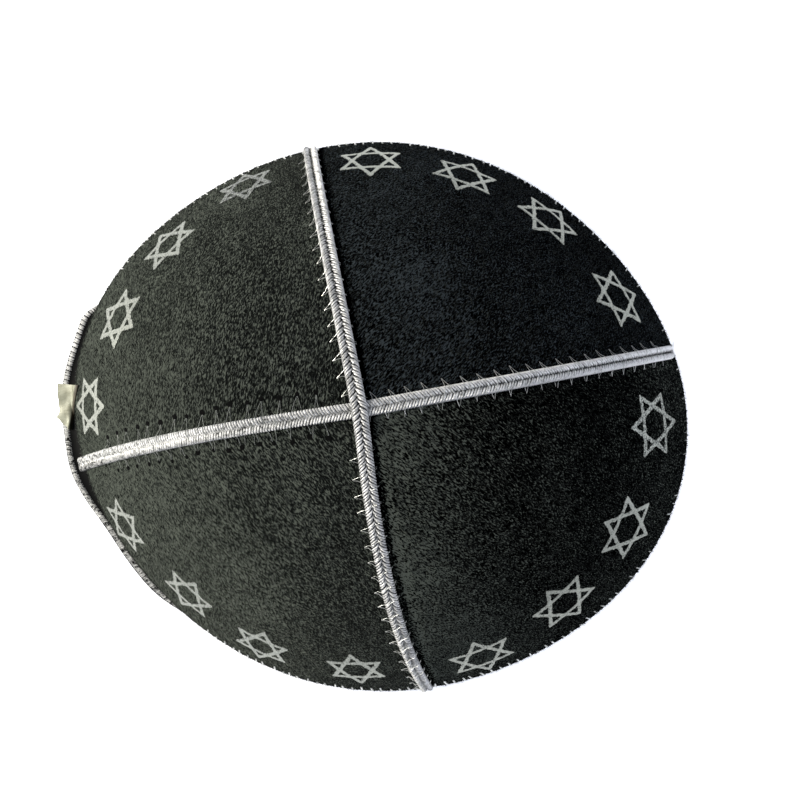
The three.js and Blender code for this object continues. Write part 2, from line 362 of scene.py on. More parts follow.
# Metallised yarn: a silver film wound on a core. Each strand has a tone of its own, partly a painted glint,
# and noise paints small sparkles into the colour for the film's turns.
def makeYarn(name, dark, light, roughness, metallic, specular=0.5):
    material, tree, yarn = newMaterial(name, {
        "Roughness": roughness, "Metallic": metallic, "Specular IOR Level": specular})
    place = addNode(tree, "ShaderNodeTexCoord", {}, {}, {}).outputs["Object"]
    tone = addNode(tree, "ShaderNodeAttribute", {"attribute_name": "tone"}, {}, {})
    glint = addNode(tree, "ShaderNodeTexNoise", {},
                    {"Scale": 1 / (0.5 * mm), "Detail": 3.0, "Roughness": 0.7}, {"Vector": place})
    sparkle = addNode(tree, "ShaderNodeMapRange", {},
                      {"From Min": 0.34, "From Max": 0.66, "To Min": 0.0, "To Max": 0.55},
                      {"Value": glint.outputs["Fac"]})
    mixed = addNode(tree, "ShaderNodeMath", {"operation": "MULTIPLY_ADD"}, {1: 0.45},
                    {0: tone.outputs["Fac"], 2: sparkle.outputs["Result"]})
    ramp = addNode(tree, "ShaderNodeValToRGB", {}, {}, {"Fac": mixed.outputs["Value"]})
    setRamp(ramp, [(0.0, "#0c0d0d"), (0.12, dark), (0.9, light)])  # a tone below 0 turns near black: mostly painted shade (grooves, gaps, under the edge), some random tones too
    finishSkin(tree, yarn, ramp.outputs["Color"], glint.outputs["Fac"], 0.5, 0.08)
    return material


# Hot-stamped silver foil: thin and half glossy, pitted where the nap breaks through it.
def makeFoil():
    material, tree, foil = newMaterial("stamped silver foil", {"Metallic": 0.9, "Roughness": 0.42})
    place = addNode(tree, "ShaderNodeTexCoord", {}, {}, {}).outputs["Object"]
    pits = addNode(tree, "ShaderNodeTexNoise", {},
                   {"Scale": 1 / (0.5 * mm), "Detail": 3.0, "Roughness": 0.6}, {"Vector": place})
    # some stars are painted brighter or duller for their reflections, through the tone attribute
    pressed = addNode(tree, "ShaderNodeAttribute", {"attribute_name": "tone"}, {}, {})
    total = addNode(tree, "ShaderNodeMath", {"operation": "ADD"}, {},
                    {0: pits.outputs["Fac"], 1: pressed.outputs["Fac"]})
    ramp = addNode(tree, "ShaderNodeValToRGB", {}, {}, {"Fac": total.outputs["Value"]})
    setRamp(ramp, [(0.3, "#393b39"), (0.42, "#868982"), (0.65, "#a2a59c")])
    finishSkin(tree, foil, ramp.outputs["Color"], pits.outputs["Fac"], 0.5, 0.12)
    return material


# Polyester satin ribbon, pearl silver: long floats give a soft streaked gloss across fine ribs, and it is
# darkened brown along the fold round the braid, partly its own brown there and partly painted shade of the
# fold.
satinLook = {"rib": 0.4, "length": 13.5}  # mm: rib spacing and cut length


def makeSatin():
    material, tree, satin = newMaterial("pearl satin ribbon", {"Metallic": 0.15, "Roughness": 0.38})
    flat = addNode(tree, "ShaderNodeUVMap", {"uv_map": "ribbon"}, {}, {}).outputs["UV"]
    ribs = addNode(tree, "ShaderNodeTexWave", {"bands_direction": "X"},
                   {"Scale": 2 * math.pi / 20 / satinLook["rib"], "Distortion": 1.2, "Detail": 1.0,
                    "Detail Scale": 2.0},
                   {"Vector": flat})
    cloud = addNode(tree, "ShaderNodeTexNoise", {}, {"Scale": 0.35, "Detail": 2.0}, {"Vector": flat})
    mixed = addNode(tree, "ShaderNodeMath", {"operation": "MULTIPLY_ADD"}, {1: 0.25},
                    {0: ribs.outputs["Fac"], 2: cloud.outputs["Fac"]})
    ramp = addNode(tree, "ShaderNodeValToRGB", {}, {}, {"Fac": mixed.outputs["Value"]})
    setRamp(ramp, [(0.3, "#73735f"), (0.6, "#8e8f7d"), (0.9, "#abad9b")])
    across = addNode(tree, "ShaderNodeSeparateXYZ", {}, {}, {"Vector": flat})
    share = addNode(tree, "ShaderNodeMath", {"operation": "DIVIDE"}, {1: satinLook["length"]},
                    {0: across.outputs["Y"]})
    # painted shade and brown colour along the fold
    crease = addNode(tree, "ShaderNodeValToRGB", {}, {}, {"Fac": share.outputs["Value"]})
    setRamp(crease, [(0.45, "#ffffff"), (0.52, "#7f7365"), (0.62, "#6f6356"), (0.655, "#ffffff")])
    shifted = addNode(tree, "ShaderNodeMix", {"data_type": "RGBA", "blend_type": "MULTIPLY"}, {0: 1.0},
                   {6: ramp.outputs["Color"], 7: crease.outputs["Color"]})
    finishSkin(tree, satin, shifted.outputs[2], ribs.outputs["Fac"], 0.35, 0.1)
    return material


# Needle holes: matt near black, the painted shade inside each hole, so that each reads as a dark pit.
def makePierced():
    material, tree, skin = newMaterial("needle hole shade", {"Roughness": 1.0, "Specular IOR Level": 0.1})
    place = addNode(tree, "ShaderNodeTexCoord", {}, {}, {}).outputs["Object"]
    grain = addNode(tree, "ShaderNodeTexNoise", {}, {"Scale": 1 / (0.4 * mm), "Detail": 2.0},
                    {"Vector": place})
    ramp = addNode(tree, "ShaderNodeValToRGB", {}, {}, {"Fac": grain.outputs["Fac"]})
    setRamp(ramp, [(0.3, "#020202"), (0.8, "#0c0d0d")])
    tree.links.new(ramp.outputs["Color"], skin.inputs["Base Color"])
    return material


yarnSilver = makeYarn("silver metallised yarn", "#979896", "#fefefd", 0.42, 0.2)
yarnRim = makeYarn("silver yarn of the edge", "#9a9c9b", "#fcfcfa", 0.5, 0.05, 0.1)
yarnCore = makeYarn("silver yarn in the braid's core", "#1c1d1e", "#4a4c4c", 0.55, 0.2)
threadSilver = makeYarn("silver sewing thread", "#a5a8a3", "#f1f2ee", 0.3, 0.6)
threadDull = makeYarn("grey sewing thread", "#767a76", "#b9bdb6", 0.4, 0.3)
foilSilver = makeFoil()
napBlack = makeNapFibre()
satinPearl = makeSatin()
suedeInside = makeSuedeInside()
holeShade = makePierced()
print("materials made")


suede = {
    "thickness": 1.4, "seamGap": 0.06, "crownShare": 0.006, "columns": 84, "rows": 84, "edgeRound": 0.4,
    "pressed": (2.3, 4.4),  # mm from the long seam, on its right side, where the painted shadow fades out
}


# 1 in the painted shadow on the suede beside the long braid, falling to 0
def shadowBesideLong(index, across, share):
    if index not in (0, 3):
        return 0 * across
    gore, follow = goreSpan(index)
    wide = follow["seam"] - gore["seam"]
    away = across if index == 3 else 1 - across
    distance = np.radians(away * wide) * planReach(gore["seam"] + across * wide, share)
    return 1 - smoothStep(distance, *suede["pressed"])


def makeGore(index):
    gore, follow = goreSpan(index)
    bm = bmesh.new()
    tone = bm.verts.layers.float.new("tone")
    bmesh.ops.create_grid(bm, x_segments=suede["columns"], y_segments=suede["rows"], size=0.5)
    outer = bm.verts[:]
    places = np.array([v.co for v in outer], float)
    share = 1 + (suede["crownShare"] - 1) * (places[:, 1] + 0.5)
    # the tone attribute carries the painted shadow beside the long braid
    for v, near in zip(outer, shadowBesideLong(index, places[:, 0] + 0.5, share)):
        v[tone] = near
    folded = bmesh.ops.extrude_face_region(bm, geom=bm.faces[:])
    inner = [v for v in folded["geom"] if isinstance(v, bmesh.types.BMVert)]

    def place(points, depth):
        across, up = points[:, 0] + 0.5, points[:, 1] + 0.5
        share = 1 + (suede["crownShare"] - 1) * up
        start = seamDirection(gore, share)
        end = seamDirection(follow, share)
        inset = np.degrees(suede["seamGap"] / 2 / planReach((start + end) / 2, share))
        direction = start + inset + (end - start - 2 * inset) * across
        return onDome(direction, share, -depth)

    onEdge = {v for v, p in zip(outer, places) if p[1] < -0.4999}
    moveVerts(inner, lambda points: place(points, suede["thickness"]))
    moveVerts(outer, lambda points: place(points, 0.0))
    innerSet = set(inner)
    for f in bm.faces:
        f.material_index = 1 if all(v in innerSet for v in f.verts) else 0
    cut = [e for e in bm.edges if e.verts[0] in onEdge and e.verts[1] in onEdge]
    bmesh.ops.bevel(bm, geom=cut, offset=suede["edgeRound"], offset_type="OFFSET", segments=3, profile=0.5,
                    affect="EDGES", material=-1)
    name = "suede_" + goreNames[index]
    nappy = makeSuede("black suede, " + goreNames[index].replace("_", " "), gore)
    addPiece(name, meshFrom(bm, name), [nappy, suedeInside], ["panel_" + goreNames[index]], 50)


for index in range(4):
    makeGore(index)
print("suede gores made")


# seam braids: two cords side by side, wound with strands that meet in chevrons
braid = {
    "width": 4.0, "thickness": 1.4, "edge": 0.3,  # edge is the height left at the sides and in the groove
    "pitch": 0.78, "slant": 1.8, "strandRadius": 0.24, "groove": 0.3,
    "coreRings": 240, "coreInset": 0.12, "coreDrop": 0.25,  # the core lies inside the strands
}
crossing = {"flat": 2.6, "reach": 8.5, "step": 1.2}
rightArm, backArm, leftArm, frontArm = (gores[n] for n in goreNames)
rightLength, backLength, leftLength, frontLength = (float(meridian(g["seam"])[2]) for g in gores.values())

# The rows give values at the first end, half way to the crown, at the crown and at the second end: painted
# lightness for how the light falls along it (for the braid across: darker at its left end, brighter at its
# right), width, slant of the strands, how far they are pulled flat into a fine mesh, how far the cords lie
# apart.
seamBraids = {
    "braid_across": {
        "node": "braid_left_right", "arms": (leftArm, rightArm), "step": 0,
        "ends": (-1.018 * leftLength, 0.982 * rightLength),
        "paintedShine": (-0.5, 0.6, 0.45, 1.0), "taper": (0.97, 0.97, 0.98, 0.97), "lay": (0.25, 0.3, 0.8, 1),
        "mesh": (1, 1, 0.6, 0), "split": (0, 0, 0.1, 0.34)},
    "braid_along": {
        "node": "braid_front_back", "arms": (frontArm, backArm), "step": crossing["step"],
        "ends": (-frontLength, backLength),
        "paintedShine": (0.1, 0.1, 0.1, 0.1), "taper": (0.82, 0.94, 1.0, 1.0), "lay": (1, 1, 1, 1),
        "mesh": (0, 0, 0, 0), "split": (0.1, 0, 0, 0.2)},
}


def cordTop(sideways, thickness=None):
    a = np.clip(np.abs(sideways) / (braid["width"] / 2), 0, 1)
    lobe = np.sin(np.pi * a) ** 0.65
    return braid["edge"] + ((thickness or braid["thickness"]) - braid["edge"]) * lobe


def braidLift(distance, step):
    return step * (1 - smoothStep(np.abs(distance), crossing["flat"], crossing["reach"]))


def makeBraid(name, run):
    half = braid["width"] / 2
    arms, step, (low, high) = run["arms"], run["step"], run["ends"]

    def at(distance, row):
        return np.interp(distance, (low, 0.5 * low, 0, high), run[row])

    bm = bmesh.new()
    bmesh.ops.create_cone(bm, cap_ends=True, segments=20, radius1=1, radius2=1, depth=2)
    runs = [e for e in bm.edges if abs(e.verts[0].co.z - e.verts[1].co.z) > 1]
    bmesh.ops.subdivide_edges(bm, edges=runs, cuts=braid["coreRings"])

    def place(points):
        distance = low + (high - low) * (points[:, 2] + 1) / 2
        sideways = points[:, 0] * (half - braid["coreInset"])
        top = cordTop(sideways, braid["thickness"] - braid["coreDrop"]) - 0.1
        height = np.where(points[:, 1] > 0, top * np.minimum(points[:, 1] * 3, 1), 0.02)
        sideways = sideways * at(distance, "taper")
        return besideSeam(arms, distance, sideways, height + braidLift(distance, step))

    moveVerts(bm.verts[:], place)
    addPiece(name + "_core", meshFrom(bm, name + "_core"), [yarnCore], [run["node"]], 60)
    starts = np.arange(low + 0.7, high - 0.7, braid["pitch"])
    odd = np.arange(len(starts))[:, None] % 2
    turn = np.radians(np.linspace(-25, 200, 10))[None]  # a strand's way over its cord
    paths, tones = [], []
    for sign in (-1, 1):
        late = braid["pitch"] / 2 if sign > 0 else 0
        s = starts[:, None] + 0.04 * rng.standard_normal((len(starts), 1)) + late
        distance = np.clip(s + braid["slant"] * at(s, "lay") * (turn / np.pi - 0.5), low, high)
        flat, apart = at(s, "mesh"), at(s, "split")
        # every second strand bridges the groove, unless the cords lie apart
        inside = np.where(odd, apart, braid["groove"] / 2 + braid["strandRadius"]) * (1 - flat)
        outside = half - 0.8 * braid["strandRadius"]
        sideways = sign * ((outside + inside) / 2 + (outside - inside) / 2 * np.cos(turn)) + 0 * s
        sideways = sideways * at(distance, "taper")
        tall = braid["thickness"] - braid["strandRadius"] - 0.2 + 0.03 * rng.standard_normal((len(starts), 1))
        height = 0.2 + tall * np.sign(np.sin(turn)) * np.abs(np.sin(turn)) ** (0.7 - 0.35 * flat)
        height = np.maximum(height, 0.05) + braidLift(distance, step)
        paths.append(besideSeam(arms, distance, sideways, height))
        # broken tones in the mesh paint its glints; painted shade greys its middle, so the cords' edges read
        # as highlights, and painted shade darkens the groove between cords that lie apart
        grain = (1 - flat) * rng.random(s.shape) + 1.7 * flat * (rng.random(distance.shape) - 0.3)
        middleShade = 0.75 * (1 - smoothStep(np.abs(sideways), 1.0, 1.6)) * flat * smoothStep(s, -46, -34)
        grooveShade = 4.5 * apart * (1 - smoothStep(np.abs(sideways), 0.25, 0.6))
        tones.append(grain - middleShade - grooveShade + at(s, "paintedShine"))
    radius = braid["strandRadius"] + 0.1 * at(np.tile(starts, 2)[:, None], "mesh")
    strands = threadMesh(name + "_strands", np.concatenate(paths), radius, np.concatenate(tones))
    addPiece(name + "_strands", strands, [yarnSilver], [run["node"]], 60)


for name, run in seamBraids.items():
    makeBraid(name, run)


# loose threads at the cut right end of the braid
fray = {"count": 12, "length": (0.8, 2.2), "radius": 0.09, "hidden": 0.6}  # hidden length lies in the braid


def makeFray():
    n = fray["count"]
    length = fray["length"][0] + (fray["length"][1] - fray["length"][0]) * rng.random((n, 1))
    t = np.linspace(0, 1, 6)[None]
    distance = seamBraids["braid_across"]["ends"][1] - fray["hidden"] + (length + fray["hidden"]) * t
    sideways = np.linspace(-1.4, 1.4, n)[:, None] + 0.8 * rng.standard_normal((n, 1)) * t ** 2
    height = 0.6 + 0.3 * rng.standard_normal((n, 1)) - 0.4 * t
    path = besideSeam((leftArm, rightArm), distance, sideways, np.maximum(height, 0.12))
    addPiece("frayed_end", threadMesh("frayed_end", path, fray["radius"]), [yarnSilver])


makeFray()
print("seam braids made")


# zigzag stitches that hold the braids, and the needle holes beside them
# left and right: how far the needle goes in beside the braid, near the crown and near the edge
zigzag = {"pitch": 4.6, "radius": 0.065}
fineThread = {"thread": threadSilver, "thin": 1.0, "sway": 0, "hole": 0.2}
dullThread = {"thread": threadDull, "thin": 0.8, "sway": 0.5, "hole": 0.66}
zigzagArms = [
    {**fineThread, "name": "right", "run": seamBraids["braid_across"], "span": (4, 0.97 * rightLength),
     "lean": -1.0, "left": (2.2, 1.9), "right": (2.0, 1.7)},
    {**dullThread, "name": "left", "run": seamBraids["braid_across"], "span": (-0.8 * leftLength, -4),
     "lean": 0.6, "left": (4.4, 3.0), "right": (3.4, 2.2)},
    {**fineThread, "name": "back", "run": seamBraids["braid_along"], "span": (5, 0.97 * backLength),
     "lean": -0.8, "left": (2.3, 2.0), "right": (0.6, 0.5)},
    {**fineThread, "name": "front", "run": seamBraids["braid_along"], "span": (-0.97 * frontLength, -5),
     "lean": 0.0, "left": (2.3, 2.0), "right": (0.7, 0.5)},
]
holePlaces = []


def makeZigzag(arm):
    half = braid["width"] / 2
    low, high = arm["span"]
    count = int((high - low) / zigzag["pitch"])
    begin = low + zigzag["pitch"] * np.arange(count) + 0.25 * rng.standard_normal(count)
    far = np.clip(np.abs(begin) / 100, 0, 1)
    out = {side: (arm[side][0] + (arm[side][1] - arm[side][0]) * far) * (1 + 0.1 * rng.standard_normal(count))
           for side in ("left", "right")}
    t = np.array([0, 0.06, 0.2, 0.32, 0.42, 0.5, 0.58, 0.68, 0.8, 0.94, 1])[None]
    w = (half + out["left"])[:, None] * (1 - t) - (half + out["right"])[:, None] * t
    paths = []
    for step in (-0.5, 0.5):
        advance = step * zigzag["pitch"] * (0.55 * t + 0.45 * smoothStep(t, 0, 1))
        sway = arm["lean"] + arm["sway"] * rng.standard_normal((count, 1))
        distance = begin[:, None] + advance + arm["lean"] + (sway - 2 * arm["lean"]) * smoothStep(t, 0, 0.3)
        over = np.maximum(cordTop(w) + 0.12, braid["thickness"] * 0.9)
        beside = 0.12 + 0.4 * np.exp(-(np.abs(w) - half) / 0.5)
        lying = np.where(np.abs(w) < half, over, beside)
        height = np.where((t > 0.03) & (t < 0.97), lying, -0.25)  # both ends go down through the suede
        height = height + np.where(np.abs(w) < half + 0.4, braidLift(distance, arm["run"]["step"]), 0)
        paths.append(besideSeam(arm["run"]["arms"], distance, w, height))
    mesh = threadMesh("zigzag_" + arm["name"], np.concatenate(paths), zigzag["radius"] * arm["thin"])
    addPiece("zigzag_" + arm["name"], mesh, [arm["thread"]])
    makeHoles(arm, [*zip(begin + arm["lean"], half + out["left"]),
                    *zip(begin + zigzag["pitch"] / 2, -half - out["right"])])


# shallow eight-sided cones in the nap, painted dark for the shade inside each hole
def makeHoles(arm, places):
    arms = arm["run"]["arms"]
    ring = np.linspace(0, 2 * np.pi, 9)[:-1]
    points, faces = [], []
    for along, sideways in places:
        size = arm["hole"] * (0.8 + 0.5 * rng.random())
        base = len(points)
        edge = besideSeam(arms, along + size * np.cos(ring), sideways + size * np.sin(ring), 0.1 + 0 * ring)
        points += list(edge)
        points.append(besideSeam(arms, np.array([along]), np.array([sideways]), np.array([0.2]))[0])
        holePlaces.append((points[-1], size))
        faces += [(base + i, base + (i + 1) % 8, base + 8) for i in range(8)]
        faces.append(tuple(base + i for i in reversed(range(8))))
    mesh = bpy.data.meshes.new("needle_holes_" + arm["name"])
    mesh.from_pydata(points, [], faces)
    addPiece("needle_holes_" + arm["name"], mesh, [holeShade])


for arm in zigzagArms:
    makeZigzag(arm)
print("zigzag stitches made")


# foil stars: two triangles laid across each other, stamped on the suede
star = {
    "tipRound": 0.7, "innerRound": 0.35, "gapRound": 0.3, "lift": 0.03, "thickness": 0.09, "sunk": 0.05,
    "slice": 1.2, "reach": 9.6, "ragged": 0.1,  # cut at every slice, so that it bends with the dome
    "pressed": {4: 0.14, 5: -0.125, 16: -0.11},  # stars given a painted reflection, brighter or duller than the rest
}


def polygon(count, turn, radius, x=0.0, y=0.0):
    angles = turn + 2 * np.pi * np.arange(count) / count
    return np.stack([x + radius * np.cos(angles), y + radius * np.sin(angles)], 1)


# a loop with its corners rounded off
def rounded(loop, size, steps=3):
    points = []
    for i, corner in enumerate(loop):
        before, after = loop[i - 1] - corner, loop[(i + 1) % len(loop)] - corner
        start = corner + before / np.linalg.norm(before) * min(size, np.linalg.norm(before) * 0.45)
        end = corner + after / np.linalg.norm(after) * min(size, np.linalg.norm(after) * 0.45)
        for t in np.linspace(0, 1, steps):
            points.append((1 - t) ** 2 * start + 2 * t * (1 - t) * corner + t * t * end)
    return np.array(points)


def starLoops(radius, stroke):
    tips = polygon(6, -np.pi / 2, radius)
    notches = polygon(6, -np.pi / 3, radius / math.sqrt(3))
    outline = np.empty((12, 2))
    outline[0::2], outline[1::2] = tips, notches
    loops = [rounded(outline, star["tipRound"])]
    loops.append(rounded(polygon(6, 0, 2 * (radius / 2 - stroke) / math.sqrt(3)), star["innerRound"]))
    hollow = radius / 2 - 2 * stroke
    for i in range(6):
        turn = -np.pi / 2 + i * np.pi / 3
        middle = radius / 2 + hollow / 3
        gap = polygon(3, turn, hollow * 2 / 3, middle * math.cos(turn), middle * math.sin(turn))
        loops.append(rounded(gap, star["gapRound"]))
    return loops


def makeStar(number, direction, radius, stroke, fromEdge, turn):
    bm = bmesh.new()
    tone = bm.verts.layers.float.new("tone")
    for loop in starLoops(radius, stroke):
        verts = [bm.verts.new((x, y, 0)) for x, y in loop]
        for i, v in enumerate(verts):
            bm.edges.new((v, verts[(i + 1) % len(verts)]))
    bmesh.ops.subdivide_edges(bm, edges=[e for e in bm.edges if e.calc_length() > 1.0], cuts=3)
    bmesh.ops.triangle_fill(bm, use_beauty=True, edges=bm.edges[:], normal=(0, 0, 1))
    for axis in ((1, 0, 0), (0, 1, 0)):
        for offset in np.arange(-star["reach"], star["reach"] + 0.1, star["slice"]):
            bmesh.ops.bisect_plane(bm, geom=bm.verts[:] + bm.edges[:] + bm.faces[:], dist=1e-4,
                                   plane_co=Vector(axis) * float(offset), plane_no=axis)
    for f in bm.faces:
        if f.normal.z < 0:
            f.normal_flip()
    for v in bm.verts:
        if v.is_boundary:
            v.co += Vector((*(star["ragged"] * rng.standard_normal(2)), 0))
    bmesh.ops.rotate(bm, verts=bm.verts[:], cent=(0, 0, 0),
                     matrix=Matrix.Rotation(math.radians(turn), 3, "Z"))
    under = bm.verts[:]
    raisedUp = bmesh.ops.extrude_face_region(bm, geom=bm.faces[:])
    over = [v for v in raisedUp["geom"] if isinstance(v, bmesh.types.BMVert)]
    length = float(meridian(direction)[2])

    def place(points, height):
        share = 1 - (fromEdge + points[:, 1]) / length
        return onDome(direction + np.degrees(points[:, 0] / planReach(direction, share)), share, height)

    # tone: painted reflection, brighter or duller for some stars
    for v in bm.verts:
        v[tone] = star["pressed"].get(number, 0.0)
    moveVerts(over, lambda points: place(points, star["lift"] + star["thickness"]))
    moveVerts(under, lambda points: place(points, star["lift"] - star["sunk"]))
    name = f"foil_star_{number:02d}"
    addPiece(name, meshFrom(bm, name), [foilSilver], [f"star_{number:02d}"], 40)


starPlaces = []
for index in range(4):
    gore, follow = goreSpan(index)
    for share, fromEdge, turn in zip(gore["across"], gore["fromEdge"], gore["turn"]):
        direction = gore["seam"] + (follow["seam"] - gore["seam"]) * share
        starPlaces.append((direction, gore["starRadius"], gore["stroke"], fromEdge, turn))
for number, place in enumerate(starPlaces, 1):
    makeStar(number, *place)
print("foil stars made")


# nap: tufts of fibre that stand out of the suede
nap = {
    "count": 23000, "edgeCount": 3500, "length": (0.55, 1.3), "width": 0.17,
    "lift": (10, 50), "spread": 30,  # degrees off the leather, and to each side of the brushing
    "offFoil": 0.1, "offHoles": 0.55, "sunk": 0.06,
}


def onFoil(direction, share):
    covered = np.zeros(len(direction), bool)
    for middle, radius, stroke, fromEdge, turned in starPlaces:
        y = (1 - share) * float(meridian(middle)[2]) - fromEdge
        x = np.radians((direction - middle + 180) % 360 - 180) * planReach(middle, share)
        for turn in (90 + turned, 270 + turned):
            ways = [math.radians(turn + k) for k in (0, 120, 240)]
            deepest = np.max([x * math.cos(way) + y * math.sin(way) for way in ways], axis=0)
            inner, outer = radius / 2 - stroke - nap["offFoil"], radius / 2 + nap["offFoil"]
            covered |= (deepest > inner) & (deepest < outer)
    return covered


# closed slivers with a ridge, from arrays of roots, headings, normals and lengths
def fibreMesh(name, root, heading, normal, length, lift, tones):
    side = np.cross(normal, heading)
    width = nap["width"] * (0.6 + 0.8 * rng.random((len(root), 1)))
    tip = root + heading * (length * np.cos(lift))[:, None] + normal * (length * np.sin(lift))[:, None]
    points = np.stack([root + side * width / 2, root - side * width / 2, root + normal * width * 0.6, tip], 1)
    first = 4 * np.arange(len(root))[:, None]
    corners = ((0, 3, 2), (2, 3, 1), (1, 3, 0), (0, 2, 1))
    faces = np.concatenate([first + np.array([corner]) for corner in corners])
    mesh = bpy.data.meshes.new(name)
    mesh.from_pydata(aboveFloor(points, 0.02).reshape(-1, 3), [], faces)
    tone = mesh.attributes.new("tone", "FLOAT", "POINT")
    tone.data.foreach_set("value", np.repeat(tones, 4).astype(np.float32))
    return mesh


def makeNap(index):
    gore, follow = goreSpan(index)
    count, edge = nap["count"], nap["edgeCount"]
    across = rng.random(count + edge)
    direction = gore["seam"] + (follow["seam"] - gore["seam"]) * across
    slope = meridian(direction)[0]
    share = np.arccos(1 - rng.random(count + edge) * (1 - np.cos(slope))) / slope
    share[count:] = 1 + 0.003 * rng.random(edge)
    # no tufts in the painted shadow beside the long braid
    keep = ~onFoil(direction, share) & (shadowBesideLong(index, across, share) < 0.5)
    spread = onDome(direction, share)
    for spot, size in holePlaces:
        keep &= np.linalg.norm(spread - spot, axis=1) > size + nap["offHoles"]
    direction, share = direction[keep], share[keep]
    onEdge = np.arange(count + edge)[keep] >= count
    depth = np.where(onEdge, -suede["thickness"] * rng.random(len(share)), -nap["sunk"])
    root = onDome(direction, share, depth)
    normal = unit(onDome(direction, share, 1.0) - onDome(direction, share, 0.0))
    out = unit(onDome(direction, share + 0.001) - onDome(direction, share))
    turn = np.radians(gore["nap"] + nap["spread"] * rng.standard_normal(len(share)))
    brushed = np.stack([np.cos(turn), np.sin(turn), 0 * turn], 1)
    brushed -= normal * np.sum(brushed * normal, 1, keepdims=True)
    heading = unit(np.where(onEdge[:, None], out + 0.5 * rng.standard_normal(out.shape), brushed))
    length = nap["length"][0] + (nap["length"][1] - nap["length"][0]) * rng.random(len(share))
    length = np.where(onEdge, 0.45 * length, length)
    lift = np.radians(nap["lift"][0] + (nap["lift"][1] - nap["lift"][0]) * rng.random(len(share)))
    name = "nap_" + goreNames[index]
    # tufts lighter on the left gores and darker on the right: partly painted light and shade, with a random
    # grey for each tuft
    mesh = fibreMesh(name, root, heading, normal, length, lift, gore["tuftLightness"] * rng.random(len(share)) ** 1.3)
    addPiece(name, mesh, [napBlack], (), 30)


for index in range(4):
    makeNap(index)
print("nap made")


# braid under the edge, rolled out at the left where its ends meet
rim = {
    "width": 3.6, "thickness": 1.4, "gap": 0.15, "tucked": 0.7, "flared": 4.6, "flaredSlope": 6,
    "flareStart": (144, 151), "flareEnd": (180, 195), "flareKept": 0.76, "flareGone": (206, 226),
    "swing": 1.7, "swingStart": (171, 181), "swingEnd": (177, 196),  # directions in degrees
    "pitch": 1.33, "strandRadius": 0.32, "rings": 260,
    "under": 3.0, "against": 0.45, "sag": 0.7,  # of the inner cord where it is rolled out
}
tab = {
    "direction": 167.9, "width": 13.0, "thickness": 0.45, "gap": 0.25, "overhang": (0.9, -0.4),
    "pullOut": 1.7, "pullDown": 1.0, "reach": 14,  # it pulls the braid out and down, over so many degrees
    "lowerLeaf": 0.2, "columns": 40, "rows": 60,
}


# 1 where the braid is rolled out, easing to flareKept and then to 0
def flare(direction):
    turn = np.asarray(direction, float) % 360
    kept = rim["flareKept"]
    eased = (1 - kept) * smoothStep(turn, *rim["flareEnd"]) + kept * smoothStep(turn, *rim["flareGone"])
    return smoothStep(turn, *rim["flareStart"]) * (1 - eased)


# how far it swings out further, just below the tab
def rimSwing(direction):
    turn = np.asarray(direction, float) % 360
    return rim["swing"] * smoothStep(turn, *rim["swingStart"]) * (1 - smoothStep(turn, *rim["swingEnd"]))


# point in the rim braid's own section: out along its width and up through it
def inRim(direction, out, up):
    direction = np.asarray(direction, float)
    slope, radius = meridian(direction)[:2]
    inner = radius - suede["thickness"]
    pull = swell(direction, tab["direction"], tab["reach"])
    rolled = flare(direction)
    dip = slope + (math.radians(rim["flaredSlope"]) - slope) * rolled
    a = rim["tucked"] + (rim["flared"] - rim["tucked"]) * rolled + rimSwing(direction) + pull * tab["pullOut"]
    a = a - rim["width"] / 2 + out
    b = up - pull * tab["pullDown"] - rim["gap"] - rim["thickness"] / 2
    reach = inner * np.sin(slope) + a * np.cos(dip) + b * np.sin(dip)
    z = dome["crownHeight"] - radius + inner * np.cos(slope) - a * np.sin(dip) + b * np.cos(dip)
    turn = np.radians(direction)
    return np.stack([dome["crown"][0] + reach * np.cos(turn), dome["crown"][1] + reach * np.sin(turn), z], -1)


